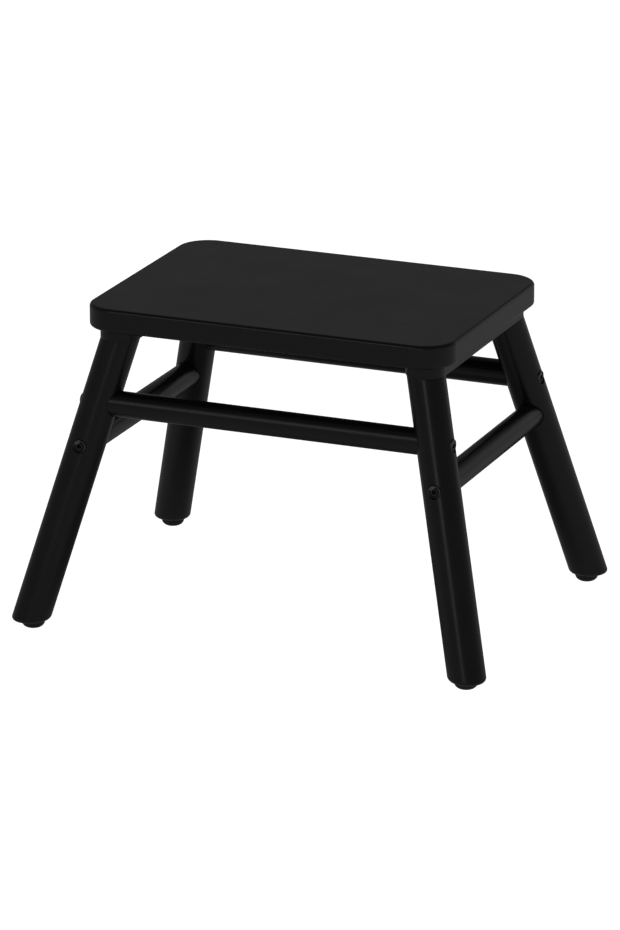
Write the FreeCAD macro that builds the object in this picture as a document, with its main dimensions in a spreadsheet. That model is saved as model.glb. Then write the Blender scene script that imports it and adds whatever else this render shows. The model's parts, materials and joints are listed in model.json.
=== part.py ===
"""Low wooden step stool: a board on two cleats, four splayed round legs and four bolted stretchers.

Millimetres. The origin is on the floor under the middle of the board, +Z is up, +X runs along the
long side to the right and -Y faces the front.
"""

import FreeCAD
import Part
import math
import os
import Sketcher

SIZES = {
    # whole stool
    "overall_height": 260,
    # seat board
    "seat_length": 306,
    "seat_depth": 219,
    "seat_thickness": 18.7,
    "seat_corner_radius": 26,
    "seat_edge_radius": 2.8,
    # cleats under the two ends of the board
    "cleat_width": 31.4,
    "cleat_length": 201,
    "cleat_thickness": 10.2,
    "cleat_edge_break": 0.7,
    # legs: centre of the top face, and how far a leg moves out per millimetre of drop
    "leg_diameter": 30,
    "leg_top_x": 128.7,
    "leg_top_y": 84.8,
    "leg_splay_x": 0.251,
    "leg_splay_y": 0.2373,
    "leg_top_break": 0.4,
    "leg_foot_radius": 3.5,
    # stretchers between the legs: the long pair runs along X, the short pair along Y
    "stretcher_diameter": 20.8,
    "long_stretcher_height": 180.2,
    "short_stretcher_height": 148.7,
    "stretcher_end_to_leg_axis": 8,
    # bolt through the leg into each stretcher end, and its recess in the leg
    "bolt_diameter": 6,
    "bolt_hole_diameter": 6.6,
    "bolt_length": 34,
    "bolt_head_diameter": 10.2,
    "bolt_head_thickness": 2.8,
    "bolt_recess_diameter": 11,
    "bolt_hex": 4,
    "bolt_hex_depth": 2,
    "bolt_edge_break": 0.5,
    # threaded sleeve in each stretcher end
    "sleeve_diameter": 10,
    "sleeve_length": 15,
    # screw through the cleat along each leg
    "leg_screw_diameter": 6,
    "leg_screw_hole_diameter": 6.6,
    "leg_screw_length": 42,
    "leg_screw_head_diameter": 10.5,
    "leg_screw_head_thickness": 3.2,
    "leg_screw_recess_diameter": 11.5,
    "leg_screw_seat": 4.5,
    # dowel beside that screw
    "dowel_diameter": 6,
    "dowel_in_cleat": 8,
    "dowel_in_leg": 14,
    "dowel_offset": 10,
    # countersunk screws that hold the board on the cleats
    "board_screw_diameter": 4,
    "board_screw_hole_diameter": 4.4,
    "board_screw_length": 25,
    "board_screw_head_diameter": 8.4,
    "board_screw_head_thickness": 2.2,
    "board_screw_spacing": 55,
    "cross_slot_length": 4.6,
    "cross_slot_width": 1.1,
    "cross_slot_depth": 1.3,
    # nail-on glides under the legs, set a little inwards of the leg axis
    "glide_height": 6.5,
    "glide_top_radius": 9.5,
    "glide_foot_radius": 4,
    "glide_inset": 1.5,
    "nail_diameter": 2,
    "nail_length": 18,
    "nail_head_diameter": 5,
    "nail_head_thickness": 0.9,
    "nail_head_height": 1.6,
}

# Extra length of a cutting tool past the face that it cuts through
OVERRUN = 30
# Smallest difference in length or volume that counts
TOLERANCE = 0.01

X_AXIS = (1, 0, 0)
Y_AXIS = (0, 1, 0)
ENDS = {"left": -1, "right": 1}
SIDES = {"front": -1, "back": 1}

# Formulas over the sheet that several pieces share.
LEG_TOP = "(Sizes.overall_height - Sizes.seat_thickness - Sizes.cleat_thickness)"
LEG_DROP = f"({LEG_TOP} - Sizes.glide_height)"
LEG_SLOPE = "sqrt(1 + Sizes.leg_splay_x ^ 2 + Sizes.leg_splay_y ^ 2)"

doc = FreeCAD.newDocument("step_stool")
sheet = doc.addObject("Spreadsheet::Sheet", "Sizes")
nodes = []


def fill_sheet():
    """One row per driving size: its name, and its value under that name as an alias."""
    for row, (name, value) in enumerate(SIZES.items(), start=1):
        sheet.set(f"A{row}", name)
        sheet.set(f"B{row}", str(value))
        sheet.setAlias(f"B{row}", name)
    doc.recompute()


def finish_node(item, name, **base):
    """Give a finished sub-part its name and its place in the stool."""
    item.Label = name
    place(item, **base)
    nodes.append(item)
    return item


# ---------------------------------------------------------------- shared building steps


def bind(item, **formulas):
    for key, formula in formulas.items():
        item.setExpression(key, formula)


def place(item, **base):
    """Bind x, y and z of an object's place to formulas."""
    for axis, formula in base.items():
        item.setExpression(f"Placement.Base.{axis}", formula)


def turn_towards(item, direction):
    """Turn an object's own Z axis along a direction."""
    item.Placement.Rotation = FreeCAD.Rotation(FreeCAD.Vector(0, 0, 1), FreeCAD.Vector(*direction))


def turn_along_leg(item, side_x, side_y, downwards=False):
    """Turn an object's own Z axis along the leg at one corner, towards its top or its foot."""
    splay_x, splay_y = sheet.get("leg_splay_x"), sheet.get("leg_splay_y")
    hinge = FreeCAD.Vector(side_y * splay_y, -side_x * splay_x, 0)
    item.Placement.Rotation = FreeCAD.Rotation(hinge, 10)
    lean = f"acos(1 / {LEG_SLOPE})"
    item.setExpression("Placement.Rotation.Angle", f"{lean} - 180 deg" if downwards else lean)


def leg_point(side_x, side_y, rise, out_y="0"):
    """Place, from the centre of a leg's top face, of a point on the leg's axis."""
    return {
        "x": f"{-side_x} * Sizes.leg_splay_x * {rise}",
        "y": f"{-side_y} * (Sizes.leg_splay_y * {rise} + {out_y})",
        "z": rise,
    }


def leg_axis(side, axis, height):
    """Distance from the middle of the stool, along x or y, of a leg's centre at a height."""
    return f"{side} * (Sizes.leg_top_{axis} + Sizes.leg_splay_{axis} * ({LEG_TOP} - {height}))"


def bolt_seat(axis):
    """Distance from a leg's axis, along a bolt, to the face that the bolt's head presses on."""
    across = "y" if axis == "x" else "x"
    half_chord = f"Sizes.leg_diameter / 2 * {LEG_SLOPE} / sqrt(1 + Sizes.leg_splay_{across} ^ 2)"
    return f"({half_chord} - Sizes.bolt_head_thickness)"


def cylinder(name, diameter, length, **base):
    tool = doc.addObject("Part::Cylinder", name)
    bind(tool, Radius=f"({diameter}) / 2", Height=length)
    place(tool, **base)
    return tool


def fuse(name, pieces):
    joined = doc.addObject("Part::MultiFuse", name)
    joined.Shapes = pieces
    return joined


def cut(name, base, tools):
    """Cut tools out of a base, and stop if one of them misses it."""
    doc.recompute()
    for tool in tools:
        if base.Shape.common(tool.Shape).Volume < TOLERANCE:
            raise RuntimeError(f"{tool.Name} cuts nothing out of {base.Name}")
    result = doc.addObject("Part::Cut", name)
    result.Base = base
    result.Tool = tools[0] if len(tools) == 1 else fuse(f"{name}_tools", tools)
    doc.recompute()
    return result


def mirrored(name, source, normal):
    copy = doc.addObject("Part::Mirroring", name)
    copy.Source = source
    copy.Normal = FreeCAD.Vector(*normal)
    return copy


def group(name, pieces):
    """Separate solids of one kind, held together under one name."""
    held = doc.addObject("Part::Compound", name)
    held.Links = pieces
    return held


def mirrored_pair(name, source, normal):
    return group(name, [source, mirrored(f"{name}_mirror", source, normal)])


def new_body(name):
    return doc.addObject("PartDesign::Body", name)


def new_sketch(body, name, role="XY_Plane"):
    sketch = body.newObject("Sketcher::SketchObject", name)
    plane = next(item for item in body.Origin.OriginFeatures if item.Role == role)
    sketch.AttachmentSupport = [(plane, "")]
    sketch.MapMode = "FlatFace"
    return sketch


def dimension(sketch, name, formula, *constraint):
    """A sketch dimension whose value a formula sets."""
    index = sketch.addConstraint(Sketcher.Constraint(*constraint))
    sketch.renameConstraint(index, name)
    sketch.setExpression(f"Constraints.{name}", formula)


def circle(sketch, name, diameter, x=None, y=None):
    """Circle with its centre on the sketch origin, or at a place that formulas give."""
    rough = FreeCAD.Vector(7 if x else 0, 5 if y else 0, 0)
    index = sketch.addGeometry(Part.Circle(rough, FreeCAD.Vector(0, 0, 1), 3), False)
    dimension(sketch, f"{name}_diameter", diameter, "Diameter", index, 6)
    if x:
        dimension(sketch, f"{name}_x", x, "DistanceX", -1, 1, index, 3, 7)
    else:
        sketch.addConstraint(Sketcher.Constraint("PointOnObject", index, 3, -2))
    if y:
        dimension(sketch, f"{name}_y", y, "DistanceY", -1, 1, index, 3, 5)
    else:
        sketch.addConstraint(Sketcher.Constraint("PointOnObject", index, 3, -1))


def pad(body, name, sketch, length):
    feature = body.newObject("PartDesign::Pad", name)
    feature.Profile = sketch
    bind(feature, Length=length)
    sketch.Visibility = False
    doc.recompute()
    return feature


def dress(body, kind, name, edges, **formulas):
    """Fillet or chamfer edges of the feature that a body has reached."""
    feature = body.newObject(f"PartDesign::{kind}", name)
    feature.Base = (feature.BaseFeature, edges)
    bind(feature, **formulas)
    doc.recompute()
    return feature


def edges_between(shape, low, high):
    """Names of the edges whose whole height range runs from low to high."""
    names = []
    for number, edge in enumerate(shape.Edges, start=1):
        box = edge.BoundBox
        if abs(box.ZMin - low) < TOLERANCE and abs(box.ZMax - high) < TOLERANCE:
            names.append(f"Edge{number}")
    return names


def rim_edges(shape):
    """Names of the edges around the lowest and the highest level face."""
    heights = [corner.Z for corner in shape.Vertexes]
    low, high = min(heights), max(heights)
    return edges_between(shape, low, low) + edges_between(shape, high, high)


def soften(name, kind, base, height, size):
    """Fillet or chamfer of a Part solid along its edges at one height."""
    feature = doc.addObject(f"Part::{kind}", name)
    feature.Base = base
    amount = sheet.get(size)
    edges = edges_between(base.Shape, height, height)
    feature.Edges = [(int(edge[4:]), amount, amount) for edge in edges]
    doc.recompute()
    return feature


# ---------------------------------------------------------------- board and cleats


def build_seat_board():
    """Flat board with rounded corners and edges, and screw holes in its underside."""
    body = new_body("seat_body")
    outline = new_sketch(body, "seat_outline")
    half_x = sheet.get("seat_length") / 2
    half_y = sheet.get("seat_depth") / 2
    corners = [(-half_x, -half_y), (half_x, -half_y), (half_x, half_y), (-half_x, half_y)]
    for start, end in zip(corners, corners[1:] + corners[:1]):
        line = Part.LineSegment(FreeCAD.Vector(*start, 0), FreeCAD.Vector(*end, 0))
        outline.addGeometry(line, False)
    for side in range(4):
        outline.addConstraint(Sketcher.Constraint("Coincident", side, 2, (side + 1) % 4, 1))
        level = "Horizontal" if side % 2 == 0 else "Vertical"
        outline.addConstraint(Sketcher.Constraint(level, side))
    outline.addConstraint(Sketcher.Constraint("Symmetric", 0, 1, 2, 1, -1, 1))
    dimension(outline, "across", "Sizes.seat_length", "DistanceX", 0, 1, 0, 2, 2 * half_x)
    dimension(outline, "deep", "Sizes.seat_depth", "DistanceY", 1, 1, 1, 2, 2 * half_y)
    board = pad(body, "seat_pad", outline, "Sizes.seat_thickness")
    corner_edges = edges_between(board.Shape, 0, sheet.get("seat_thickness"))
    board = dress(body, "Fillet", "seat_corners", corner_edges, Radius="Sizes.seat_corner_radius")
    dress(body, "Fillet", "seat_edges", rim_edges(board.Shape), Radius="Sizes.seat_edge_radius")

    holes = new_sketch(body, "seat_screw_holes")
    for end, side_x in ENDS.items():
        for label, step in (("front", -1), ("middle", 0), ("back", 1)):
            circle(
                holes,
                f"{end}_{label}",
                "Sizes.board_screw_diameter",
                x=f"{side_x} * Sizes.leg_top_x",
                y=f"{step} * Sizes.board_screw_spacing" if step else None,
            )
    whole = body.Shape.Volume
    drilled = body.newObject("PartDesign::Pocket", "seat_drilled")
    drilled.Profile = holes
    drilled.Reversed = True
    bind(drilled, Length="Sizes.board_screw_length - Sizes.cleat_thickness")
    holes.Visibility = False
    doc.recompute()
    if body.Shape.Volume > whole - 1:
        raise RuntimeError("the screw holes cut nothing out of the seat board")
    finish_node(body, "seat_board", z="Sizes.overall_height - Sizes.seat_thickness")


def build_cleat(end, side_x):
    """Round-ended bar across the board, drilled for its legs and for the board's screws."""
    name = f"{end}_cleat"
    body = new_body(f"{name}_body")
    outline = new_sketch(body, f"{name}_outline")
    radius = sheet.get("cleat_width") / 2
    reach = sheet.get("cleat_length") / 2 - radius
    up = FreeCAD.Vector(0, 0, 1)
    back = Part.Circle(FreeCAD.Vector(0, reach, 0), up, radius)
    front = Part.Circle(FreeCAD.Vector(0, -reach, 0), up, radius)
    outline.addGeometry(Part.ArcOfCircle(back, 0, math.pi), False)
    left_side = (FreeCAD.Vector(-radius, reach, 0), FreeCAD.Vector(-radius, -reach, 0))
    outline.addGeometry(Part.LineSegment(*left_side), False)
    outline.addGeometry(Part.ArcOfCircle(front, math.pi, 2 * math.pi), False)
    right_side = (FreeCAD.Vector(radius, -reach, 0), FreeCAD.Vector(radius, reach, 0))
    outline.addGeometry(Part.LineSegment(*right_side), False)
    for piece in range(4):
        outline.addConstraint(Sketcher.Constraint("Tangent", piece, 2, (piece + 1) % 4, 1))
    outline.addConstraint(Sketcher.Constraint("Symmetric", 0, 3, 2, 3, -1, 1))
    outline.addConstraint(Sketcher.Constraint("Vertical", 1))
    dimension(outline, "width", "Sizes.cleat_width / 2", "Radius", 0, radius)
    straight = "Sizes.cleat_length - Sizes.cleat_width"
    dimension(outline, "straight", straight, "DistanceY", 2, 3, 0, 3, 2 * reach)
    bar = pad(body, f"{name}_pad", outline, "Sizes.cleat_thickness")
    dress(body, "Chamfer", f"{name}_break", rim_edges(bar.Shape), Size="Sizes.cleat_edge_break")

    tools = []
    for side, side_y in SIDES.items():
        tools += cleat_leg_holes(f"{name}_{side}", side_x, side_y)
    for label, step in (("front", -1), ("middle", 0), ("back", 1)):
        tools.append(board_screw_hole(f"{name}_{label}_board_hole", step))
    drilled = cut(name, body, tools)
    finish_node(drilled, name, x=f"{side_x} * Sizes.leg_top_x", z=LEG_TOP)


def cleat_leg_holes(name, side_x, side_y):
    """Screw hole, head recess and dowel hole, all leaning with the leg under a cleat's end."""
    seat_rise = f"(Sizes.leg_screw_seat / {LEG_SLOPE})"
    start = f"(-1 * {OVERRUN} / {LEG_SLOPE})"
    recess = cylinder(f"{name}_recess", "Sizes.leg_screw_recess_diameter", f"{OVERRUN}")
    hole = cylinder(f"{name}_hole", "Sizes.leg_screw_hole_diameter", f"2 * {OVERRUN}")
    dowel = cylinder(
        f"{name}_dowel_hole", "Sizes.dowel_diameter", f"{OVERRUN} + Sizes.dowel_in_cleat"
    )
    for tool, rise, aside in (
        (recess, seat_rise, "0"),
        (hole, start, "0"),
        (dowel, start, "Sizes.dowel_offset"),
    ):
        base = leg_point(side_x, side_y, rise, aside)
        base["y"] = f"{side_y} * Sizes.leg_top_y + {base['y']}"
        place(tool, **base)
        turn_along_leg(tool, side_x, side_y)
    return [recess, hole, dowel]


def board_screw_hole(name, step):
    """Countersunk hole up through a cleat."""
    sink = doc.addObject("Part::Cone", f"{name}_sink")
    bind(
        sink,
        Radius1="Sizes.board_screw_head_diameter / 2",
        Radius2="Sizes.board_screw_diameter / 2",
        Height="Sizes.board_screw_head_thickness",
    )
    through = cylinder(f"{name}_through", "Sizes.board_screw_hole_diameter", f"{OVERRUN}")
    for tool in (sink, through):
        place(tool, y=f"{step} * Sizes.board_screw_spacing")
    return fuse(name, [sink, through])


# ---------------------------------------------------------------- legs and stretchers


def build_leg(side, side_y, end, side_x):
    """Round splayed leg, cut level at both ends. It is drawn from the centre of its top face."""
    name = f"{side}_{end}_leg"
    stock = cylinder(
        f"{name}_stock",
        "Sizes.leg_diameter",
        f"{LEG_DROP} * {LEG_SLOPE} + 2 * {OVERRUN}",
        **leg_point(side_x, side_y, f"({OVERRUN} / {LEG_SLOPE})"),
    )
    turn_along_leg(stock, side_x, side_y, downwards=True)
    slab = doc.addObject("Part::Box", f"{name}_slab")
    bind(slab, Length="Sizes.seat_length", Width="Sizes.seat_length", Height=LEG_DROP)
    place(slab, x="-Sizes.seat_length / 2", y="-Sizes.seat_length / 2", z=f"-1 * {LEG_DROP}")
    blank = doc.addObject("Part::MultiCommon", f"{name}_blank")
    blank.Shapes = [stock, slab]
    doc.recompute()
    foot_height = min(corner.Z for corner in blank.Shape.Vertexes)
    rounded = soften(f"{name}_foot", "Fillet", blank, foot_height, "leg_foot_radius")
    softened = soften(f"{name}_top", "Chamfer", rounded, 0, "leg_top_break")

    tools = stretcher_holes(f"{name}_long", side_x, side_y, along_x=True)
    tools += stretcher_holes(f"{name}_short", side_x, side_y, along_x=False)
    tools += leg_end_holes(name, side_x, side_y)
    drilled = cut(name, softened, tools)
    finish_node(
        drilled,
        name,
        x=f"{side_x} * Sizes.leg_top_x",
        y=f"{side_y} * Sizes.leg_top_y",
        z=LEG_TOP,
    )


def stretcher_holes(name, side_x, side_y, along_x):
    """Socket for a stretcher end, bolt hole and head recess, all on the stretcher's own axis."""
    height, axis = stretcher_level(along_x)
    side = side_x if along_x else side_y
    centre = leg_point(side_x, side_y, f"(-1 * ({LEG_TOP} - {height}))")
    outwards = (side_x, 0, 0) if along_x else (0, side_y, 0)
    inwards = tuple(-part for part in outwards)
    end = "Sizes.stretcher_end_to_leg_axis"
    socket = cylinder(f"{name}_socket", "Sizes.stretcher_diameter", f"{OVERRUN}", **centre)
    recess = cylinder(f"{name}_recess", "Sizes.bolt_recess_diameter", f"{OVERRUN}", **centre)
    hole = cylinder(f"{name}_hole", "Sizes.bolt_hole_diameter", f"{OVERRUN}", **centre)
    for tool, direction, shift in (
        (socket, inwards, f"-{side} * {end}"),
        (recess, outwards, f"{side} * {bolt_seat(axis)}"),
        (hole, outwards, f"-{side} * ({end} + 1)"),
    ):
        place(tool, **{axis: f"{centre[axis]} + {shift}"})
        turn_towards(tool, direction)
    return [socket, recess, hole]


def leg_end_holes(name, side_x, side_y):
    """Holes for the screw and the dowel in a leg's top, and for the nail in its foot."""
    rise = f"(1 / {LEG_SLOPE})"
    screw_depth = "Sizes.leg_screw_length - Sizes.leg_screw_seat + 1"
    screw = cylinder(
        f"{name}_screw_hole",
        "Sizes.leg_screw_diameter",
        screw_depth,
        **leg_point(side_x, side_y, rise),
    )
    dowel = cylinder(
        f"{name}_dowel_hole",
        "Sizes.dowel_diameter",
        "Sizes.dowel_in_leg + 1",
        **leg_point(side_x, side_y, rise, "Sizes.dowel_offset"),
    )
    for tool in (screw, dowel):
        turn_along_leg(tool, side_x, side_y, downwards=True)
    foot = leg_point(side_x, side_y, f"(-1 * {LEG_DROP})")
    nail = cylinder(
        f"{name}_nail_hole",
        "Sizes.nail_diameter",
        "Sizes.nail_length + Sizes.nail_head_height - Sizes.glide_height + 1",
        x=f"{foot['x']} - {side_x} * Sizes.glide_inset",
        y=f"{foot['y']} - {side_y} * Sizes.glide_inset",
        z=f"{foot['z']} - 1",
    )
    return [screw, dowel, nail]


def stretcher_level(along_x):
    """Height of a stretcher, and the axis that it runs along."""
    if along_x:
        return "Sizes.long_stretcher_height", "x"
    return "Sizes.short_stretcher_height", "y"


def stretcher_reach(axis, height):
    """Distance from the middle of the stool to the end of a stretcher."""
    return f"({leg_axis(1, axis, height)} - Sizes.stretcher_end_to_leg_axis)"


def build_stretcher(name, along_x, side):
    """Round bar with a blind hole in each end for its threaded sleeve."""
    height, axis = stretcher_level(along_x)
    reach = stretcher_reach(axis, height)
    body = new_body(f"{name}_body")
    section = new_sketch(body, f"{name}_section", "YZ_Plane" if along_x else "XZ_Plane")
    circle(section, "bar", "Sizes.stretcher_diameter")
    bar = body.newObject("PartDesign::Pad", f"{name}_pad")
    bar.Profile = section
    bar.Midplane = True
    bind(bar, Length=f"2 * {reach}")
    section.Visibility = False
    doc.recompute()

    tools = []
    for tip, sign in (("far", 1), ("near", -1)):
        start = f"{sign} * ({reach} - Sizes.sleeve_length)"
        hole = cylinder(
            f"{name}_{tip}_hole", "Sizes.sleeve_diameter", f"{OVERRUN}", **{axis: start}
        )
        turn_towards(hole, (sign, 0, 0) if along_x else (0, sign, 0))
        tools.append(hole)
    drilled = cut(name, body, tools)
    finish_node(drilled, name, **stretcher_place(along_x, side, height))


def stretcher_place(along_x, side, height):
    """Place of the middle of a stretcher."""
    across = "y" if along_x else "x"
    return {across: leg_axis(side, across, height), "z": height}


# ---------------------------------------------------------------- fasteners


def socket_screw(name, kind, hex_size, edge_break=None):
    """Disc-headed screw with a hexagon socket. Its head stands on the XY plane, shank down."""
    head = cylinder(
        f"{name}_head", f"Sizes.{kind}_head_diameter", f"Sizes.{kind}_head_thickness"
    )
    if edge_break:
        doc.recompute()
        rim = max(corner.Z for corner in head.Shape.Vertexes)
        head = soften(f"{name}_rim", "Chamfer", head, rim, edge_break)
    shank = cylinder(
        f"{name}_shank",
        f"Sizes.{kind}_diameter",
        f"Sizes.{kind}_length",
        z=f"-Sizes.{kind}_length",
    )
    blank = fuse(f"{name}_blank", [head, shank])
    socket = doc.addObject("Part::Prism", f"{name}_socket")
    socket.Polygon = 6
    bind(socket, Circumradius=f"Sizes.{hex_size} / 2 / cos(30)", Height="Sizes.bolt_hex_depth")
    place(socket, z=f"Sizes.{kind}_head_thickness - Sizes.bolt_hex_depth")
    return cut(name, blank, [socket])


def build_stretcher_hardware(name, along_x, side):
    """The two bolts of a stretcher, and the two sleeves that they screw into."""
    height, axis = stretcher_level(along_x)
    direction = X_AXIS if along_x else Y_AXIS
    spot = stretcher_place(along_x, side, height)

    bolt = socket_screw(f"{name}_bolt", "bolt", "bolt_hex", "bolt_edge_break")
    turn_towards(bolt, direction)
    place(bolt, **{axis: f"{leg_axis(1, axis, height)} + {bolt_seat(axis)}"})
    bolts = mirrored_pair(f"{name}_bolt_pair", bolt, direction)
    finish_node(bolts, f"{name}_bolts", **spot)

    wall = cylinder(f"{name}_sleeve_wall", "Sizes.sleeve_diameter", "Sizes.sleeve_length")
    bore = cylinder(f"{name}_sleeve_bore", "Sizes.bolt_diameter", "Sizes.sleeve_length")
    sleeve = cut(f"{name}_sleeve", wall, [bore])
    turn_towards(sleeve, direction)
    place(sleeve, **{axis: f"{stretcher_reach(axis, height)} - Sizes.sleeve_length"})
    sleeves = mirrored_pair(f"{name}_sleeve_pair", sleeve, direction)
    finish_node(sleeves, f"{name}_sleeves", **spot)


def build_leg_screws(end, side_x):
    """The two screws that pull the legs of one end up against their cleat."""
    screw = socket_screw(f"{end}_leg_screw", "leg_screw", "bolt_hex")
    base = leg_point(side_x, 1, f"(Sizes.leg_screw_seat / {LEG_SLOPE})")
    place(screw, x=base["x"], y=f"Sizes.leg_top_y + {base['y']}", z=base["z"])
    turn_along_leg(screw, side_x, 1)
    pair = mirrored_pair(f"{end}_leg_screw_pair", screw, Y_AXIS)
    finish_node(pair, f"{end}_leg_screws", x=f"{side_x} * Sizes.leg_top_x", z=LEG_TOP)


def build_leg_dowels(end, side_x):
    """The two dowels that stop the legs of one end from turning on their screws."""
    dowel = cylinder(
        f"{end}_leg_dowel", "Sizes.dowel_diameter", "Sizes.dowel_in_leg + Sizes.dowel_in_cleat"
    )
    base = leg_point(side_x, 1, f"(-1 * Sizes.dowel_in_leg / {LEG_SLOPE})", "Sizes.dowel_offset")
    place(dowel, x=base["x"], y=f"Sizes.leg_top_y + {base['y']}", z=base["z"])
    turn_along_leg(dowel, side_x, 1)
    pair = mirrored_pair(f"{end}_leg_dowel_pair", dowel, Y_AXIS)
    finish_node(pair, f"{end}_leg_dowels", x=f"{side_x} * Sizes.leg_top_x", z=LEG_TOP)


def board_screw(name, step):
    """Countersunk screw with a cross slot. Its head is flush with the XY plane, shank up."""
    head = doc.addObject("Part::Cone", f"{name}_head")
    bind(
        head,
        Radius1="Sizes.board_screw_head_diameter / 2",
        Radius2="Sizes.board_screw_diameter / 2",
        Height="Sizes.board_screw_head_thickness",
    )
    shank = cylinder(f"{name}_shank", "Sizes.board_screw_diameter", "Sizes.board_screw_length")
    blank = fuse(f"{name}_blank", [head, shank])
    slots = []
    for label, long_axis, short_axis in (("a", "x", "y"), ("b", "y", "x")):
        slot = doc.addObject("Part::Box", f"{name}_slot_{label}")
        length, width = ("Length", "Width") if long_axis == "x" else ("Width", "Length")
        bind(
            slot,
            **{
                length: "Sizes.cross_slot_length",
                width: "Sizes.cross_slot_width",
                "Height": "Sizes.cross_slot_depth",
            },
        )
        place(
            slot,
            **{
                long_axis: "-Sizes.cross_slot_length / 2",
                short_axis: "-Sizes.cross_slot_width / 2",
            },
        )
        slots.append(slot)
    screw = cut(name, blank, slots)
    place(screw, y=f"{step} * Sizes.board_screw_spacing")
    return screw


def build_board_screws(end, side_x):
    """The three screws that hold the board on one cleat, driven from below."""
    screws = [
        board_screw(f"{end}_{label}_board_screw", step)
        for label, step in (("front", -1), ("middle", 0), ("back", 1))
    ]
    held = group(f"{end}_board_screw_group", screws)
    finish_node(held, f"{end}_board_screws", x=f"{side_x} * Sizes.leg_top_x", z=LEG_TOP)


# ---------------------------------------------------------------- feet


def glide_centre(side, axis):
    """Distance of a glide's centre from the middle of the stool, on one axis."""
    return f"({leg_axis(side, axis, 'Sizes.glide_height')} - {side} * Sizes.glide_inset)"


def nail(name):
    """Round nail, point up, measured from the floor under it."""
    head = cylinder(
        f"{name}_head",
        "Sizes.nail_head_diameter",
        "Sizes.nail_head_thickness",
        z="Sizes.nail_head_height",
    )
    shank = cylinder(
        f"{name}_shank", "Sizes.nail_diameter", "Sizes.nail_length", z="Sizes.nail_head_height"
    )
    return fuse(name, [head, shank])


def build_glide(side, side_y, end, side_x):
    """Plastic disc with a rounded rim, moulded around the head of its nail."""
    name = f"{side}_{end}_glide"
    body = new_body(f"{name}_body")
    outline = new_sketch(body, f"{name}_outline")
    circle(outline, "disc", "2 * Sizes.glide_top_radius")
    disc = pad(body, f"{name}_pad", outline, "Sizes.glide_height")
    rim = edges_between(disc.Shape, 0, 0)
    rim_radius = "Sizes.glide_top_radius - Sizes.glide_foot_radius"
    dress(body, "Fillet", f"{name}_rim", rim, Radius=rim_radius)
    moulded = cut(name, body, [nail(f"{name}_nail_space")])
    finish_node(moulded, name, x=glide_centre(side_x, "x"), y=glide_centre(side_y, "y"))


def build_glide_nails():
    """The four nails of the glides."""
    first = nail("glide_nail")
    place(first, x=glide_centre(1, "x"), y=glide_centre(1, "y"))
    right_pair = mirrored_pair("glide_nail_pair", first, Y_AXIS)
    nails = mirrored_pair("glide_nail_group", right_pair, X_AXIS)
    finish_node(nails, "glide_nails")


# ---------------------------------------------------------------- whole stool


def build_stool():
    fill_sheet()
    build_seat_board()
    for end, side_x in ENDS.items():
        build_cleat(end, side_x)
        build_leg_screws(end, side_x)
        build_leg_dowels(end, side_x)
        build_board_screws(end, side_x)
        for side, side_y in SIDES.items():
            build_leg(side, side_y, end, side_x)
            build_glide(side, side_y, end, side_x)
    stretchers = [(side, True, sign) for side, sign in SIDES.items()]
    stretchers += [(end, False, sign) for end, sign in ENDS.items()]
    for place_name, along_x, sign in stretchers:
        build_stretcher(f"{place_name}_stretcher", along_x, sign)
        build_stretcher_hardware(f"{place_name}_stretcher", along_x, sign)
    build_glide_nails()
    doc.recompute()


def check_document():
    """Stop before anything is written if a feature failed or a sub-part is not sound."""
    for item in doc.Objects:
        if "Invalid" in item.State or "Error" in item.State:
            raise RuntimeError(f"{item.Name} failed: {item.State}")
    for node in nodes:
        if node.Shape.isNull() or not node.Shape.isValid() or not node.Shape.Solids:
            raise RuntimeError(f"{node.Label} has no sound shape")


def write_nodes():
    os.makedirs("parts", exist_ok=True)
    for node in nodes:
        node.Shape.exportStep(f"parts/{node.Label}.step")


build_stool()
check_document()
write_nodes()
print(f"{len(nodes)} sub-parts written")
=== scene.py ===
"""Low step stool in black lacquered wood: the looks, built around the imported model.

Metres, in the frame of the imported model: the floor is z = 0, +X runs along the long side and
-Y faces the front.
"""

import json
import math

import bmesh
import bpy
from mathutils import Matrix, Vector

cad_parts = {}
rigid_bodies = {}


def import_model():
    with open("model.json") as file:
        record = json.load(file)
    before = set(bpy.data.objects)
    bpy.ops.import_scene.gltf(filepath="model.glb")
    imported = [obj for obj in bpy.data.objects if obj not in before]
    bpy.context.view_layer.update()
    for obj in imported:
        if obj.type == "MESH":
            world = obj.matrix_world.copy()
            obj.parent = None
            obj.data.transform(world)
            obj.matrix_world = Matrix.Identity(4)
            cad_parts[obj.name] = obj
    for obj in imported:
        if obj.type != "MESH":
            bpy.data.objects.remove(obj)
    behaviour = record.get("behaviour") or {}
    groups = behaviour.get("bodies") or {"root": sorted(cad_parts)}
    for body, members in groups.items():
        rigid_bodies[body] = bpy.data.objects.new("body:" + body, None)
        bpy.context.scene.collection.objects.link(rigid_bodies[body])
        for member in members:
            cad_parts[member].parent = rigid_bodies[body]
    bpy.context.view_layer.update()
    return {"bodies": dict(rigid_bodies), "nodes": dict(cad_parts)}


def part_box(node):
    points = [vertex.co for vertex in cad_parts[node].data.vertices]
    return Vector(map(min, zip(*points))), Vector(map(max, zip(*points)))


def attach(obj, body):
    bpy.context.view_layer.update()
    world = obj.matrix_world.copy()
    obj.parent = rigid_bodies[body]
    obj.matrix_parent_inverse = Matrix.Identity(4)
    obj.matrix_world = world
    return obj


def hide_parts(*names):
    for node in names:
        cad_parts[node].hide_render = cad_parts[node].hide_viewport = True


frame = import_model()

MM = 0.001
BODY = next(iter(frame["bodies"]))
SELECTABLE = {"EDGE": "edges", "FACE": "faces"}
SMOOTH_ANGLE = math.radians(32)

# A corner this close to a plane or a line counts as on it
SLACK = 0.02 * MM

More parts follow.
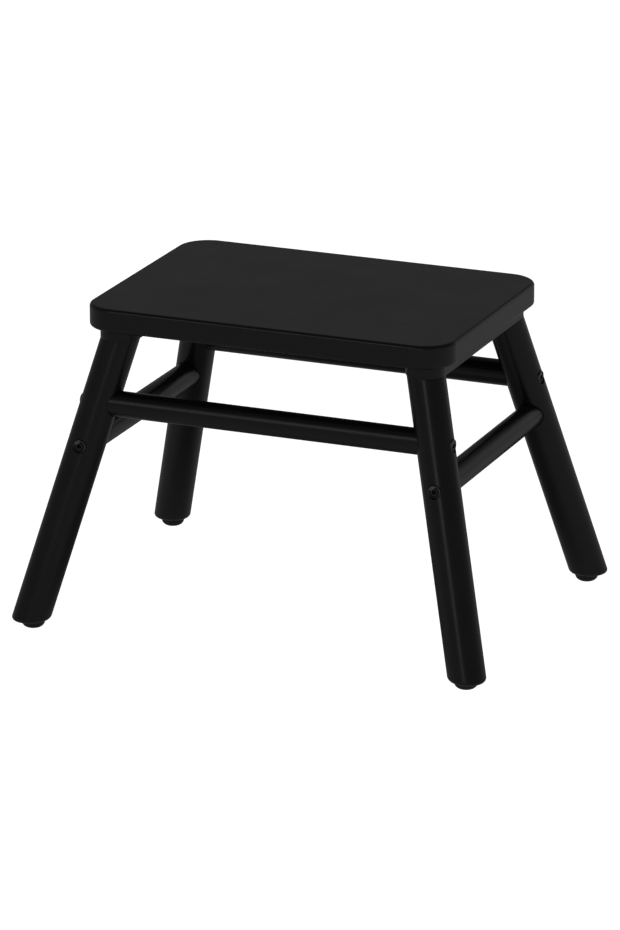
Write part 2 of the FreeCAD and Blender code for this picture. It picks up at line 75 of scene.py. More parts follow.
# Cutters, and legs before they are trimmed, stand out past the finished surface
SHALLOW_SPARE = 1 * MM
DEEP_SPARE = 20 * MM
SIDES = {"front": -1, "back": 1}
ENDS = {"left": -1, "right": 1}
X_AXIS = Vector((1, 0, 0))
Y_AXIS = Vector((0, 1, 0))
Z_AXIS = Vector((0, 0, 1))

# Board and cleats
SEAT_CORNER_RADIUS = 26 * MM
SEAT_EDGE_RADIUS = 2.8 * MM
SEAT_FLAT_INSET = 4 * MM
CLEAT_TOP_ROUND = 1.4 * MM
CLEAT_BOTTOM_BREAK = 0.4 * MM
BOARD_SCREW_HEAD = 8.4 * MM
SCREW_SINK_DIAMETER = 8.9 * MM
SCREW_SINK_DEPTH = 1.2 * MM

# Legs: a leg's centre moves out by LEG_SPLAY, along X and along Y, for each unit of drop
LEG_DIAMETER = 30 * MM
LEG_TOP = Vector((128.7, 84.8, 231.1)) * MM
LEG_SPLAY = Vector((0.251, 0.2373))
LEG_TOP_BREAK = 0.4 * MM
LEG_FOOT_RADIUS = 3.5 * MM

# Stretchers and their sockets in the legs
STRETCHER_END_BREAK = 0.8 * MM
SOCKET_GAP = 0.3 * MM
SOCKET_CUT = 60 * MM
SLEEVE_DIAMETER = 10 * MM
SLEEVE_LENGTH = 15 * MM

# Bolts
BOLT_RECESS_DIAMETER = 11 * MM
BOLT_HEAD_DIAMETER = 10.2 * MM
BOLT_HEAD_THICKNESS = 2.8 * MM
BOLT_HEAD_ROUND = 0.6 * MM
BOLT_SHANK_DIAMETER = 6 * MM
BOLT_SHANK = 34 * MM
BOLT_HEX = 4 * MM
BOLT_HEX_CORNERS = BOLT_HEX / math.cos(math.radians(30))
BOLT_HEX_DEPTH = 2 * MM
BOLT_HEX_LEAD_IN = 0.35 * MM

# How far from a bolt's axis the middles of its socket's walls and the corners of its mouth may be
BOLT_HEX_WALL_LIMIT = 0.51 * BOLT_HEX
BOLT_HEX_MOUTH_LIMIT = 0.62 * BOLT_HEX

# Glides
GLIDE_RIM_RADIUS = 5.5 * MM
GLIDE_WELL_DEPTH = 1.6 * MM
GLIDE_WELL_RADIUS = 2.5 * MM

# Finishes: each pair of tones is the darker and the lighter one, in linear light
LACQUER_TONES = ((0.0092, 0.0092, 0.0098), (0.0128, 0.0127, 0.0132))
LACQUER_ROUGHNESS = 0.27
LACQUER_RELIEF = 0.005 * MM
GRAIN_SHARE = 0.35
PEEL_SHARE = 0.5
NIB_SHARE = 0.35
BOLT_TONES = ((0.17, 0.171, 0.176), (0.23, 0.23, 0.236))
# Painted shade for the inside of the bolts' hex sockets
SOCKET_SHADE_TONES = ((0.012, 0.012, 0.012), (0.03, 0.03, 0.031))
PLASTIC_TONES = ((0.0105, 0.0105, 0.011), (0.016, 0.016, 0.0165))
ZINC_TONES = ((0.48, 0.48, 0.49), (0.62, 0.62, 0.64))
BRASS_TONES = ((0.62, 0.45, 0.18), (0.78, 0.6, 0.28))
BEECH_TONES = ((0.55, 0.37, 0.21), (0.68, 0.49, 0.30))
BEECH_FLECK = (0.40, 0.25, 0.13)
BEECH_RELIEF = 0.04 * MM
SCRATCH_ROUGHNESS = 0.06

# Camera
CAMERA_AIM = Vector((-2.9, 0, 115.7)) * MM
CAMERA_DISTANCE = 4.395
CAMERA_AZIMUTH = math.radians(22.529)
CAMERA_ELEVATION = math.radians(18.055)
CAMERA_LENS = 213.69
CAMERA_SENSOR = 36
CAMERA_REACH = 200

# Studio: the camera sees SHOWN_WHITE, and the stool is lit by the other tones and mirrors them
SHOWN_WHITE = 1.1
SOFTBOX_DISTANCE = 3.0
FLOOR_SIZE = 120
FLOOR_TURN = math.radians(-50)
FLOOR_FADE = (-1.2, 1.2)
# Painted light: the floor glows for other rays, fading between these tones across it
FLOOR_TONES = ((0.10, 0.10, 0.1), (0.19, 0.19, 0.19))
FLOOR_PAINT = (0.6, 0.6, 0.6)
WALL_TONE = (0.135, 0.135, 0.137)
CEILING_TONE = (0.06, 0.06, 0.061)
CEILING_FADE = (0.15, 0.75)

# The patch of floor under the stool is darker, a painted shadow in both its glow and its paint. It
# fades between these shares of its reach
UNDER_SHADOW_TONE = (0.045, 0.045, 0.045)
UNDER_SHADOW_PAINT = (0.35, 0.35, 0.35)
UNDER_SHADOW_REACH = Vector((0.21, 0.17))
UNDER_SHADOW_FADE = (0.6, 1.15)


# ---------------------------------------------------------------- modelling helpers


def deselect_all():
    bpy.ops.object.select_all(action="DESELECT")


def take(piece):
    """Make a piece the only selected and active object."""
    deselect_all()
    piece.select_set(True)
    bpy.context.view_layer.objects.active = piece


def settle(piece):
    """Move a piece's place, turn and size into its mesh."""
    take(piece)
    bpy.ops.object.transform_apply(location=True, rotation=True, scale=True)


def edit(piece):
    """Enter edit mode with nothing selected."""
    take(piece)
    bpy.ops.object.mode_set(mode="EDIT")
    bpy.ops.mesh.select_mode(type="EDGE")
    bpy.ops.mesh.select_all(action="DESELECT")


def leave_edit():
    bpy.ops.object.mode_set(mode="OBJECT")


def choose(kind, test):
    """In edit mode, select only the items of a kind (EDGE or FACE) that pass a test."""
    bpy.ops.mesh.select_mode(type=kind)
    bpy.ops.mesh.select_all(action="DESELECT")
    mesh = bmesh.from_edit_mesh(bpy.context.object.data)
    for item in getattr(mesh, SELECTABLE[kind]):
        if test(item):
            item.select_set(True)
    mesh.select_flush_mode()
    bmesh.update_edit_mesh(bpy.context.object.data)


def at_height(height):
    """A test for edges or faces whose corners all lie at one height."""
    return lambda item: all(abs(corner.co.z - height) < SLACK for corner in item.verts)


def rim_at(height):
    """A test for the edges around a level face."""

    def test(edge):
        level = [at_height(height)(face) for face in edge.link_faces]
        return any(level) and not all(level)

    return test


def upright(edge):
    """Does this edge run straight up?"""
    a, b = (corner.co for corner in edge.verts)
    return (a - b).xy.length < SLACK


def new_block(name, low, high):
    """A block from its lowest to its highest corner, ready to be shaped."""
    deselect_all()
    bpy.ops.mesh.primitive_cube_add(size=1, location=(low + high) / 2)
    piece = bpy.context.object
    piece.name = piece.data.name = name
    piece.scale = high - low
    settle(piece)
    return piece


def new_bar(name, diameter, start, end, sides):
    """A round bar between two points, ready to be shaped."""
    deselect_all()
    run = end - start
    bpy.ops.mesh.primitive_cylinder_add(
        vertices=sides,
        radius=diameter / 2,
        depth=run.length,
        location=(start + end) / 2,
        rotation=run.to_track_quat("Z", "Y").to_euler(),
    )
    piece = bpy.context.object
    piece.name = piece.data.name = name
    settle(piece)
    return piece


def modify(piece, kind, **settings):
    """Add a modifier and apply it at once."""
    take(piece)
    modifier = piece.modifiers.new(kind.lower(), kind)
    for key, value in settings.items():
        setattr(modifier, key, value)
    bpy.ops.object.modifier_apply(modifier=modifier.name)


def cut_away(piece, cutter):
    """Cut a cutter's shape out of a piece and throw the cutter away."""
    modify(piece, "BOOLEAN", operation="DIFFERENCE", solver="EXACT", object=cutter)
    bpy.data.objects.remove(cutter)


def bevel(amount, segments):
    """Round the selected edges."""
    bpy.ops.mesh.bevel(
        offset=amount,
        offset_type="OFFSET",
        segments=segments,
        profile=0.5,
        affect="EDGES",
        clamp_overlap=True,
    )


def smooth(piece):
    """Smooth shading with flats kept flat."""
    take(piece)
    bpy.ops.object.shade_smooth_by_angle(angle=SMOOTH_ANGLE)
    modify(piece, "WEIGHTED_NORMAL", weight=100, keep_sharp=True)


def finish_piece(piece, slot, node, *materials):
    """Give a piece its finish and its place on the stool's body, and hide the node that it stands
    for.
    """
    for material in materials:
        piece.data.materials.append(material)
    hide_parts(node)
    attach(piece, BODY)


# ---------------------------------------------------------------- material helpers


def add_node(tree, kind, **settings):
    """Add a node. Settings that name an input socket set its value, the others set a property."""
    node = tree.nodes.new(kind)
    for key, value in settings.items():
        if hasattr(node, key):
            setattr(node, key, value)
        else:
            node.inputs[key.replace("_", " ")].default_value = value
    return node


def maths(tree, operation, first, second):
    """A Math node whose operands are sockets or numbers."""
    node = add_node(tree, "ShaderNodeMath", operation=operation)
    for socket, operand in zip(node.inputs, (first, second)):
        if isinstance(operand, bpy.types.NodeSocket):
            tree.links.new(operand, socket)
        else:
            socket.default_value = operand
    return node.outputs[0]


def noise(tree, vector, scale, detail=2.0, roughness=0.5):
    """Soft noise from 0 to 1. Scale is its number of features to the metre."""
    node = add_node(tree, "ShaderNodeTexNoise", Scale=scale, Detail=detail, Roughness=roughness)
    tree.links.new(vector, node.inputs["Vector"])
    return node.outputs["Fac"]


def spread(tree, value, source, target=(0, 1)):
    """Map a value's range, from its low to its high end, onto a target range, clamped."""
    node = add_node(tree, "ShaderNodeMapRange")
    tree.links.new(value, node.inputs["Value"])
    for label, ends in (("From", source), ("To", target)):
        node.inputs[f"{label} Min"].default_value = ends[0]
        node.inputs[f"{label} Max"].default_value = ends[1]
    return node.outputs["Result"]


def blend_colours(tree, amount, first, second):
    """Go from the first colour to the second. Each is a socket or three numbers."""
    node = add_node(tree, "ShaderNodeMix", data_type="RGBA")
    tree.links.new(amount, node.inputs["Factor"])
    for name, colour in (("A", first), ("B", second)):
        socket = next(s for s in node.inputs if s.name == name and s.type == "RGBA")
        if isinstance(colour, bpy.types.NodeSocket):
            tree.links.new(colour, socket)
        else:
            socket.default_value = (*colour, 1)
    return next(s for s in node.outputs if s.type == "RGBA")


def mix_shaders(tree, amount, first, second):
    node = tree.nodes.new("ShaderNodeMixShader")
    tree.links.new(amount, node.inputs["Fac"])
    tree.links.new(first, node.inputs[1])
    tree.links.new(second, node.inputs[2])
    return node.outputs[0]


def new_group(name, outputs):
    """A node group that takes a vector. Gives the group, the vector and the group's outputs."""
    group = bpy.data.node_groups.new(name, "ShaderNodeTree")
    group.interface.new_socket("Vector", in_out="INPUT", socket_type="NodeSocketVector")
    for label, kind in outputs:
        group.interface.new_socket(label, in_out="OUTPUT", socket_type=f"NodeSocket{kind}")
    vector = group.nodes.new("NodeGroupInput").outputs["Vector"]
    return group, vector, group.nodes.new("NodeGroupOutput").inputs


def new_material(name, **shader_values):
    """A material with a Principled BSDF, and the tree to build on."""
    material = bpy.data.materials.new(name)
    material.use_nodes = True
    tree = material.node_tree
    shader = next(node for node in tree.nodes if node.type == "BSDF_PRINCIPLED")
    for key, value in shader_values.items():
        shader.inputs[key.replace("_", " ")].default_value = value
    return material, tree, shader


def place_group(tree, group, vector):
    node = tree.nodes.new("ShaderNodeGroup")
    node.node_tree = group
    tree.links.new(vector, node.inputs["Vector"])
    return node.outputs


def object_vector(tree, turn=(0, 0, 0), scale=(1, 1, 1)):
    """Object coordinates, turned so that the pattern runs along the piece."""
    coordinates = tree.nodes.new("ShaderNodeTexCoord")
    mapping = add_node(tree, "ShaderNodeMapping", Rotation=turn, Scale=scale)
    tree.links.new(coordinates.outputs["Object"], mapping.inputs["Vector"])
    return mapping.outputs["Vector"]


def bump(tree, height, distance, shader):
    """Raise the surface by a distance where the height is 1."""
    node = add_node(tree, "ShaderNodeBump", Distance=distance, Strength=1.0)
    tree.links.new(height, node.inputs["Height"])
    tree.links.new(node.outputs["Normal"], shader.inputs["Normal"])


# ---------------------------------------------------------------- materials


def lacquer_group():
    """Black lacquer over close-grained wood. The grain runs along the vector's X."""
    group, vector, out = new_group(
        "lacquered_wood", [("Color", "Color"), ("Roughness", "Float"), ("Height", "Float")]
    )
    stretched = add_node(group, "ShaderNodeMapping", Scale=(0.05, 1, 1))
    group.links.new(vector, stretched.inputs["Vector"])
    along = stretched.outputs["Vector"]
    pores = noise(group, along, 900, detail=3, roughness=0.6)
    figure = noise(group, along, 110, detail=2)
    peel = noise(group, vector, 420, detail=1)
    haze = noise(group, vector, 22, detail=4, roughness=0.6)

    specks = add_node(group, "ShaderNodeTexVoronoi", Scale=160)
    group.links.new(vector, specks.inputs["Vector"])
    nibs = spread(group, specks.outputs["Distance"], (0.03, 0.09), (1, 0))

    pore_depth = maths(group, "MULTIPLY", pores, 0.6)
    figure_depth = maths(group, "MULTIPLY", figure, 0.9)
    grain = maths(group, "ADD", pore_depth, figure_depth)
    relief = maths(group, "MULTIPLY", grain, GRAIN_SHARE)
    skin = maths(group, "MULTIPLY", peel, PEEL_SHARE)
    raised = maths(group, "MULTIPLY", nibs, NIB_SHARE)
    height = maths(group, "ADD", maths(group, "ADD", relief, skin), raised)
    group.links.new(height, out["Height"])

    shade = spread(group, maths(group, "ADD", figure, haze), (0.7, 1.3))
    group.links.new(blend_colours(group, shade, *LACQUER_TONES), out["Color"])

    uneven = spread(group, haze, (0.3, 0.7), (-0.02, 0.035))
    pored = spread(group, pores, (0.45, 0.75), (0, 0.03))
    rough = maths(group, "ADD", LACQUER_ROUGHNESS, maths(group, "ADD", uneven, pored))
    group.links.new(rough, out["Roughness"])
    return group


def lacquer(name, group, turn=(0, 0, 0)):
    """Black lacquer whose grain runs along a piece, by the turn that brings it to X."""
    material, tree, shader = new_material(name, IOR=1.5, Specular_IOR_Level=0.5)
    made = place_group(tree, group, object_vector(tree, turn))
    tree.links.new(made["Color"], shader.inputs["Base Color"])
    tree.links.new(made["Roughness"], shader.inputs["Roughness"])
    bump(tree, made["Height"], LACQUER_RELIEF, shader)
    return material


def scuff_group():
    """Fine scratches, pits and tarnish shared by the metal and plastic fittings."""
    group, vector, out = new_group(
        "fine_scuffs", [("Mask", "Float"), ("Pits", "Float"), ("Scratches", "Float")]
    )
    tarnish = noise(group, vector, 260, detail=4, roughness=0.65)
    group.links.new(spread(group, tarnish, (0.35, 0.65)), out["Mask"])
    pits = noise(group, vector, 2600, detail=2)
    group.links.new(spread(group, pits, (0.4, 0.6)), out["Pits"])
    drawn = add_node(group, "ShaderNodeMapping", Scale=(0.06, 1, 1), Rotation=(0.4, 0.9, 0.6))
    group.links.new(vector, drawn.inputs["Vector"])
    lines = noise(group, drawn.outputs["Vector"], 3200, detail=2, roughness=0.6)
    group.links.new(spread(group, lines, (0.52, 0.66)), out["Scratches"])
    return group


def fitting(name, group, tones, roughness, metallic, relief):
    """Metal or plastic of a small fitting, with its own tones and roughness range."""
    material, tree, shader = new_material(name, Metallic=metallic)
    made = place_group(tree, group, object_vector(tree))
    tree.links.new(blend_colours(tree, made["Mask"], *tones), shader.inputs["Base Color"])
    worn = maths(tree, "MULTIPLY", made["Scratches"], SCRATCH_ROUGHNESS)
    rough = maths(tree, "ADD", spread(tree, made["Mask"], (0, 1), roughness), worn)
    tree.links.new(rough, shader.inputs["Roughness"])
    height = maths(tree, "SUBTRACT", made["Pits"], made["Scratches"])
    bump(tree, height, relief, shader)
    return material


def bare_wood(name):
    """Plain beech of the dowels, with fine flecks along the grain."""
    material, tree, shader = new_material(name)
    vector = object_vector(tree, scale=(1, 1, 0.08))
    rings = noise(tree, vector, 700, detail=3, roughness=0.6)
    flecks = spread(tree, noise(tree, vector, 2400, detail=1), (0.55, 0.7))
    colour = blend_colours(tree, rings, *BEECH_TONES)
    flecked = blend_colours(tree, flecks, colour, BEECH_FLECK)
    tree.links.new(flecked, shader.inputs["Base Color"])
    tree.links.new(spread(tree, rings, (0.2, 0.8), (0.5, 0.65)), shader.inputs["Roughness"])
    bump(tree, rings, BEECH_RELIEF, shader)
    return material


# ---------------------------------------------------------------- board and cleats


def make_seat(material):
    """Board with rounded corners, eased edges and a flat top."""
    low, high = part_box("seat_board")
    seat = new_block("seat", low, high)
    edit(seat)
    choose("EDGE", upright)
    bevel(SEAT_CORNER_RADIUS, segments=20)
    choose("EDGE", lambda edge: rim_at(low.z)(edge) or rim_at(high.z)(edge))
    bevel(SEAT_EDGE_RADIUS, segments=8)
    choose("FACE", lambda face: at_height(low.z)(face) or at_height(high.z)(face))
    bpy.ops.mesh.inset(thickness=SEAT_FLAT_INSET, depth=0)
    leave_edit()
    smooth(seat)
    finish_piece(seat, "black_lacquer", "seat_board", material)


def make_cleat(end, material):
    """Round-ended bar with softened edges and a sink for each screw head in its underside."""
    low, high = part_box(f"{end}_cleat")
    cleat = new_block(f"cleat_{end}", low, high)
    edit(cleat)
    choose("EDGE", upright)
    bevel((high.x - low.x) / 2, segments=24)
    bpy.ops.mesh.select_all(action="SELECT")
    bpy.ops.mesh.remove_doubles(threshold=SLACK)
    choose("EDGE", rim_at(high.z))
    bevel(CLEAT_TOP_ROUND, segments=4)
    choose("EDGE", rim_at(low.z))
    bevel(CLEAT_BOTTOM_BREAK, segments=2)
    leave_edit()
    screws_low, screws_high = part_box(f"{end}_board_screws")
    spacing = (screws_high.y - screws_low.y - BOARD_SCREW_HEAD) / 2
    for step in (-1, 0, 1):
        centre = Vector(((low.x + high.x) / 2, step * spacing, low.z))
        mouth = centre - Z_AXIS * SHALLOW_SPARE
        bottom = centre + Z_AXIS * SCREW_SINK_DEPTH
        cut_away(cleat, new_bar("sink", SCREW_SINK_DIAMETER, mouth, bottom, sides=48))
    smooth(cleat)
    finish_piece(cleat, "black_lacquer", f"{end}_cleat", material)


# ---------------------------------------------------------------- legs


def leg_centre(side_x, side_y, height):
    """Centre of a leg at a height."""
    out = LEG_TOP.xy + LEG_SPLAY * (LEG_TOP.z - height)
    return Vector((side_x * out.x, side_y * out.y, height))


def make_leg(side, side_y, end, side_x, material):
    """Splayed leg, level at both ends, rounded at the foot and bored for stretchers and bolts."""
    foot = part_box(f"{side}_{end}_leg")[0].z
    leg = new_bar(
        f"leg_{side}_{end}",
        LEG_DIAMETER,
        leg_centre(side_x, side_y, foot - DEEP_SPARE),
        leg_centre(side_x, side_y, LEG_TOP.z + DEEP_SPARE),
        sides=128,
    )
    edit(leg)
    for height, normal in ((foot, -Z_AXIS), (LEG_TOP.z, Z_AXIS)):
        bpy.ops.mesh.select_all(action="SELECT")
        bpy.ops.mesh.bisect(
            plane_co=(0, 0, height), plane_no=normal, use_fill=True, clear_outer=True
        )
    choose("EDGE", rim_at(foot))
    bevel(LEG_FOOT_RADIUS, segments=8)
    choose("EDGE", rim_at(LEG_TOP.z))
    bevel(LEG_TOP_BREAK, segments=2)
    leave_edit()
    bore_leg(leg, X_AXIS * side_x, f"{side}_stretcher")
    bore_leg(leg, Y_AXIS * side_y, f"{end}_stretcher")
    smooth(leg)
    finish_piece(leg, "black_lacquer", f"{side}_{end}_leg", material)


def bore_leg(leg, outwards, stretcher):
    """Socket for a stretcher's end and recess for its bolt's head, on the stretcher's axis."""
    low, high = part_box(stretcher)
    centre = (low + high) / 2
    reach = abs((high - low).dot(outwards)) / 2
    socket_diameter = high.z - low.z + 2 * SOCKET_GAP
    inner_end = centre + outwards * reach
    mouth = inner_end - outwards * SOCKET_CUT
    cut_away(leg, new_bar("socket", socket_diameter, mouth, inner_end, sides=96))
    bolts_low, bolts_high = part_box(f"{stretcher}_bolts")
    head_face = abs((bolts_high - bolts_low).dot(outwards)) / 2
    seat = centre + outwards * (head_face - BOLT_HEAD_THICKNESS)
    outside = seat + outwards * DEEP_SPARE
    cut_away(leg, new_bar("recess", BOLT_RECESS_DIAMETER, seat, outside, sides=64))


# ---------------------------------------------------------------- stretchers and fittings


def make_stretcher(place, along, material):
    """Round bar with broken ends, each bored for a sleeve."""
    low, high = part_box(f"{place}_stretcher")
    centre = (low + high) / 2
    half = along * ((high - low).dot(along) / 2)
    bar = new_bar(f"stretcher_{place}", high.z - low.z, centre - half, centre + half, sides=96)
    reach = half.length

    def on_end(item):
        return all(abs(abs((v.co - centre).dot(along)) - reach) < SLACK for v in item.verts)

    edit(bar)
    choose("EDGE", on_end)
    bevel(STRETCHER_END_BREAK, segments=3)
    choose("FACE", on_end)
    ring = (high.z - low.z) / 2 - STRETCHER_END_BREAK - SLEEVE_DIAMETER / 2
    bpy.ops.mesh.inset(thickness=ring, depth=0)
    bpy.ops.mesh.extrude_region_shrink_fatten(
        TRANSFORM_OT_shrink_fatten={"value": -SLEEVE_LENGTH}
    )
    leave_edit()
    smooth(bar)
    finish_piece(bar, "black_lacquer", f"{place}_stretcher", material)


def make_bolt_blank(steel, socket_shade_steel):
    """One socket bolt at the origin. Its head stands on the YZ plane and points along +X."""
    bolt = new_bar("bolt", BOLT_HEAD_DIAMETER, Vector(), X_AXIS * BOLT_HEAD_THICKNESS, sides=72)
    edit(bolt)
    choose("FACE", lambda face: all(v.co.x < SLACK for v in face.verts))
    bpy.ops.mesh.inset(thickness=(BOLT_HEAD_DIAMETER - BOLT_SHANK_DIAMETER) / 2, depth=0)
    bpy.ops.mesh.extrude_region_move(TRANSFORM_OT_translate={"value": (-BOLT_SHANK, 0, 0)})
    choose("EDGE", lambda edge: all(v.co.x > BOLT_HEAD_THICKNESS - SLACK for v in edge.verts))
    bevel(BOLT_HEAD_ROUND, segments=4)
    leave_edit()
    bottom = X_AXIS * (BOLT_HEAD_THICKNESS - BOLT_HEX_DEPTH)
    outside = X_AXIS * (BOLT_HEAD_THICKNESS + SHALLOW_SPARE)
    cut_away(bolt, new_bar("hexagon", BOLT_HEX_CORNERS, bottom, outside, sides=6))
    edit(bolt)
    choose("EDGE", on_hex_mouth)
    bevel(BOLT_HEX_LEAD_IN, segments=2)
    leave_edit()
    # The walls and bottom of the hex socket get a darker steel: painted shade in the hollow
    bolt.data.materials.append(steel)
    bolt.data.materials.append(socket_shade_steel)
    for face in bolt.data.polygons:
        face.material_index = int(in_hexagon(face))
    return bolt


def on_hex_mouth(edge):
    """Is this edge on the mouth of the socket, in the face of the head?"""
    return all(
        abs(corner.co.x - BOLT_HEAD_THICKNESS) < SLACK
        and corner.co.yz.length < BOLT_HEX_MOUTH_LIMIT
        for corner in edge.verts
    )


def in_hexagon(face):
    """Is this face a wall or the bottom of the socket?"""
    return face.center.x > 0 and face.center.yz.length < BOLT_HEX_WALL_LIMIT


def make_bolts(place, along, blank):
    """The two bolts of a stretcher, one through each leg, which keep the blank's finishes, with
    painted shade in the socket.
    """
    low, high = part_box(f"{place}_stretcher_bolts")
    centre = (low + high) / 2
    seat = (high - low).dot(along) / 2 - BOLT_HEAD_THICKNESS
    for label, sign in (("near", -1), ("far", 1)):
        bolt = blank.copy()
        bolt.data = blank.data.copy()
        bolt.name = bolt.data.name = f"bolt_{place}_stretcher_{label}"
        bpy.context.scene.collection.objects.link(bolt)
        bolt.rotation_euler = (along * sign).to_track_quat("X", "Z").to_euler()
        bolt.location = centre + along * sign * seat
        settle(bolt)
        smooth(bolt)
        finish_piece(bolt, "bolt_steel", f"{place}_stretcher_bolts")


def make_glide(side, end, material):
    """Moulded foot with a rounded rim and a shallow well over its nail's head."""
    low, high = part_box(f"{side}_{end}_glide")
    centre = (low + high) / 2
    bottom = Vector((centre.x, centre.y, low.z))
    top = Vector((centre.x, centre.y, high.z))
    glide = new_bar(f"glide_{side}_{end}", high.x - low.x, bottom, top, sides=72)
    edit(glide)
    choose("EDGE", rim_at(low.z))
    bevel(GLIDE_RIM_RADIUS, segments=10)
    choose("FACE", at_height(low.z))
    flat_radius = (high.x - low.x) / 2 - GLIDE_RIM_RADIUS
    bpy.ops.mesh.inset(thickness=flat_radius - GLIDE_WELL_RADIUS, depth=0)
    bpy.ops.mesh.extrude_region_move(TRANSFORM_OT_translate={"value": (0, 0, GLIDE_WELL_DEPTH)})
    leave_edit()
    smooth(glide)
    finish_piece(glide, "glide_plastic", f"{side}_{end}_glide", material)


# ---------------------------------------------------------------- studio


def add_to_scene(name, data):
    thing = bpy.data.objects.new(name, data)
    bpy.context.scene.collection.objects.link(thing)
    return thing


def aim(thing, azimuth, elevation, distance):
    """Point a camera or a light at the stool. Azimuth 0 is in front, positive to the right."""
    flat = math.cos(elevation)
    way = Vector((math.sin(azimuth) * flat, -math.cos(azimuth) * flat, math.sin(elevation)))
    place = CAMERA_AIM + way * distance
    thing.location = place
    thing.rotation_euler = (CAMERA_AIM - place).to_track_quat("-Z", "Y").to_euler()


def make_camera():
    data = bpy.data.cameras.new("camera")
    data.sensor_width = CAMERA_SENSOR
    data.lens = CAMERA_LENS
    data.clip_end = CAMERA_REACH
    camera = add_to_scene("camera", data)
    aim(camera, CAMERA_AZIMUTH, CAMERA_ELEVATION, CAMERA_DISTANCE)
    bpy.context.scene.camera = camera


def softbox(name, azimuth, elevation, size, brightness):
    """A rectangular soft light, with its angles in degrees. Brightness is its radiance."""
    data = bpy.data.lights.new(name, "AREA")
    data.shape = "RECTANGLE"
    data.size, data.size_y = size
    data.energy = brightness * math.pi * size[0] * size[1]
    light = add_to_scene(name, data)
    aim(light, math.radians(azimuth), math.radians(elevation), SOFTBOX_DISTANCE)
    light.visible_camera = False


def floor_finish():
    """White to the camera and a grey glow of painted light to other rays, with a painted shadow
    under the stool, clear from below.
    """
    material = bpy.data.materials.new("pale_floor")
    material.use_nodes = True
    tree = material.node_tree
    tree.nodes.clear()
    across = tree.nodes.new("ShaderNodeSeparateXYZ")
    tree.links.new(object_vector(tree, turn=(0, 0, FLOOR_TURN)), across.inputs[0])
    # Painted light: the floor's glow is brighter towards one side, turned by FLOOR_TURN
    tone = blend_colours(tree, spread(tree, across.outputs["X"], FLOOR_FADE), *FLOOR_TONES)
    out = add_node(tree, "ShaderNodeVectorMath", operation="LENGTH")
    reach = object_vector(tree, scale=(1 / UNDER_SHADOW_REACH.x, 1 / UNDER_SHADOW_REACH.y, 1))
    tree.links.new(reach, out.inputs[0])
    # Painted shadow: darkens the floor's glow and paint under the stool, fading out past its reach
    under = spread(tree, out.outputs["Value"], UNDER_SHADOW_FADE, (1, 0))
    soft = tree.nodes.new("ShaderNodeEmission")
    tree.links.new(blend_colours(tree, under, tone, UNDER_SHADOW_TONE), soft.inputs["Color"])
    matt = tree.nodes.new("ShaderNodeBsdfDiffuse")
    tree.links.new(blend_colours(tree, under, FLOOR_PAINT, UNDER_SHADOW_PAINT), matt.inputs["Color"])
    lit = tree.nodes.new("ShaderNodeAddShader")
    tree.links.new(matt.outputs[0], lit.inputs[0])
    tree.links.new(soft.outputs[0], lit.inputs[1])
    glow = add_node(tree, "ShaderNodeEmission", Strength=SHOWN_WHITE)
    rays = tree.nodes.new("ShaderNodeLightPath")
    white = mix_shaders(tree, rays.outputs["Is Camera Ray"], lit.outputs[0], glow.outputs[0])
    geometry = tree.nodes.new("ShaderNodeNewGeometry")
    clear = tree.nodes.new("ShaderNodeBsdfTransparent")
    faced = mix_shaders(tree, geometry.outputs["Backfacing"], white, clear.outputs[0])
    output = tree.nodes.new("ShaderNodeOutputMaterial")
    tree.links.new(faced, output.inputs["Surface"])
    return material


def make_floor():
    deselect_all()
    bpy.ops.mesh.primitive_plane_add(size=FLOOR_SIZE)
    floor = bpy.context.object
    floor.name = "floor"
    floor.data.materials.append(floor_finish())


def make_world():
    """White to the camera, and a soft dim studio where it lights the stool or is mirrored."""
    world = bpy.data.worlds.new("studio")
    bpy.context.scene.world = world
    world.use_nodes = True
    tree = world.node_tree
    tree.nodes.clear()
    coordinates = tree.nodes.new("ShaderNodeTexCoord")
    parts = tree.nodes.new("ShaderNodeSeparateXYZ")
    tree.links.new(coordinates.outputs["Generated"], parts.inputs[0])
    rise = spread(tree, parts.outputs["Z"], CEILING_FADE)
    room = tree.nodes.new("ShaderNodeBackground")
    tree.links.new(blend_colours(tree, rise, WALL_TONE, CEILING_TONE), room.inputs["Color"])
    plain = add_node(tree, "ShaderNodeBackground", Strength=SHOWN_WHITE)
    plain.inputs["Color"].default_value = (1, 1, 1, 1)
    rays = tree.nodes.new("ShaderNodeLightPath")
    mixed = mix_shaders(tree, rays.outputs["Is Camera Ray"], room.outputs[0], plain.outputs[0])
    output = tree.nodes.new("ShaderNodeOutputWorld")
    tree.links.new(mixed, output.inputs["Surface"])


def make_studio():
    make_camera()
    make_floor()
    make_world()
    softbox("key_softbox", azimuth=-24, elevation=29, size=(0.9, 0.8), brightness=0.9)
    softbox("front_strip", azimuth=4, elevation=15, size=(0.55, 0.9), brightness=0.95)
    softbox("back_softbox", azimuth=157, elevation=13, size=(1.0, 1.2), brightness=0.2)
    bpy.context.scene.view_settings.view_transform = "Standard"


# ---------------------------------------------------------------- whole stool


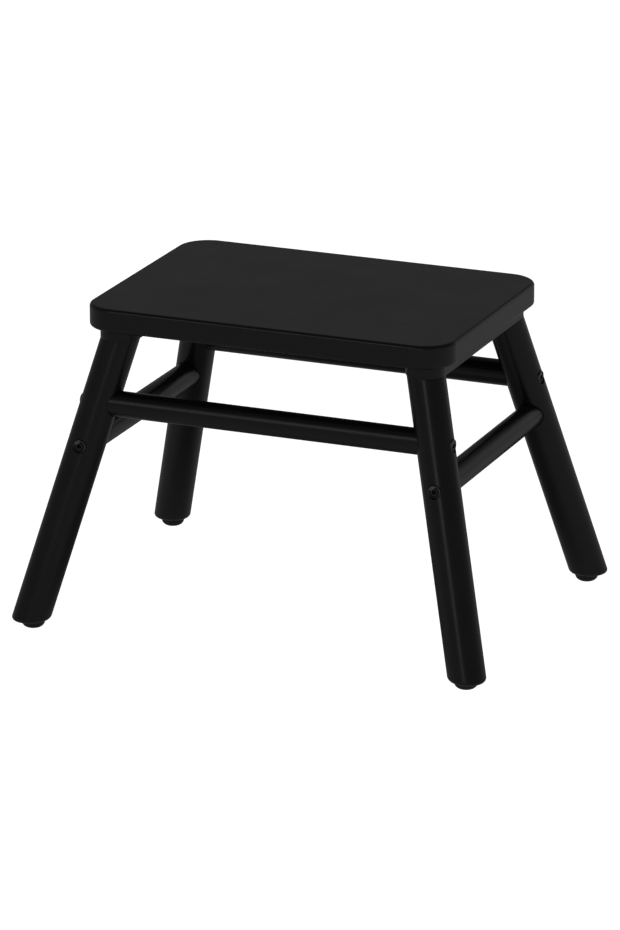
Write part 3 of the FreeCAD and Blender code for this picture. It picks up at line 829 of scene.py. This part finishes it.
def leg_turn(side_x, side_y):
    """The turn of the lacquer's pattern that brings its grain to run along a leg."""
    return (
        side_y * math.atan(LEG_SPLAY.y),
        math.pi / 2 - side_x * math.atan(LEG_SPLAY.x),
        0,
    )


def make_stool():
    wood = lacquer_group()
    scuffs = scuff_group()
    along_x = lacquer("lacquer_along_x", wood)
    along_y = lacquer("lacquer_along_y", wood, turn=(0, 0, -math.pi / 2))
    steel = fitting("bolt_steel", scuffs, BOLT_TONES, (0.34, 0.48), 1.0, 0.006 * MM)
    # Darker steel as painted shade inside the hex sockets
    socket_shade_steel = fitting("socket_shade_steel", scuffs, SOCKET_SHADE_TONES, (0.55, 0.7), 0.6, 0.01 * MM)
    plastic = fitting("glide_plastic", scuffs, PLASTIC_TONES, (0.42, 0.55), 0.0, 0.02 * MM)
    make_seat(along_x)
    for end, side_x in ENDS.items():
        make_cleat(end, along_y)
        for side, side_y in SIDES.items():
            along_leg = lacquer(f"lacquer_{side}_{end}_leg", wood, leg_turn(side_x, side_y))
            make_leg(side, side_y, end, side_x, along_leg)
            make_glide(side, end, plastic)
    blank = make_bolt_blank(steel, socket_shade_steel)
    for place in SIDES:
        make_stretcher(place, X_AXIS, along_x)
        make_bolts(place, X_AXIS, blank)
    for place in ENDS:
        make_stretcher(place, Y_AXIS, along_y)
        make_bolts(place, Y_AXIS, blank)
    bpy.data.objects.remove(blank)
    dress_hidden_fittings(scuffs)


def dress_hidden_fittings(scuffs):
    """Finishes for the screws, sleeves, dowels and nails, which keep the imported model's shapes."""
    zinc = fitting("bright_zinc", scuffs, ZINC_TONES, (0.24, 0.4), 1.0, 0.005 * MM)
    brass = fitting("turned_brass", scuffs, BRASS_TONES, (0.22, 0.36), 1.0, 0.005 * MM)
    beech = bare_wood("bare_beech")
    finishes = {"_sleeves": brass, "_dowels": beech, "_screws": zinc, "_nails": zinc}
    for name, node in frame["nodes"].items():
        finish = next((item for ending, item in finishes.items() if name.endswith(ending)), None)
        if finish:
            node.data.materials.clear()
            node.data.materials.append(finish)


make_studio()
make_stool()
